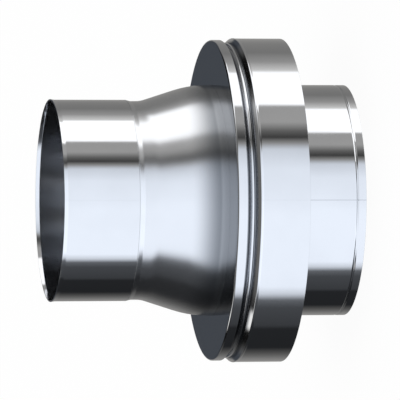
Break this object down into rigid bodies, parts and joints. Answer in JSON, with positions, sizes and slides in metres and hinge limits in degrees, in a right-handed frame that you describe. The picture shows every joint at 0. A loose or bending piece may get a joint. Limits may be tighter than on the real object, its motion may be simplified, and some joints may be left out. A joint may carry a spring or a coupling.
{
  "type": "flue pipe adapter",
  "caption": "Stainless flue adapter: plain single-wall socket, cone, flat cover plate and open twin-wall casing socket round a protruding liner.",
  "frame": {"origin": "on the flue axis at the free end of the liner, on which the adapter stands", "axes": "+Z along the flue, from the liner end up to the single-wall socket; the seams lie at -Y"},
  "size_m": [0.2128, 0.2128, 0.1952],
  "materials": {
    "stainless_sheet": "bright polished",
    "mineral_wool": "matt fibre"
  },
  "bodies": {
    "root": {"socket_tube": "stainless_sheet", "reducer_cone": "stainless_sheet", "liner_tube": "stainless_sheet", "cover_plate": "stainless_sheet", "casing_socket": "stainless_sheet", "insulation_ring": "mineral_wool"}
  },
  "joints": []
}
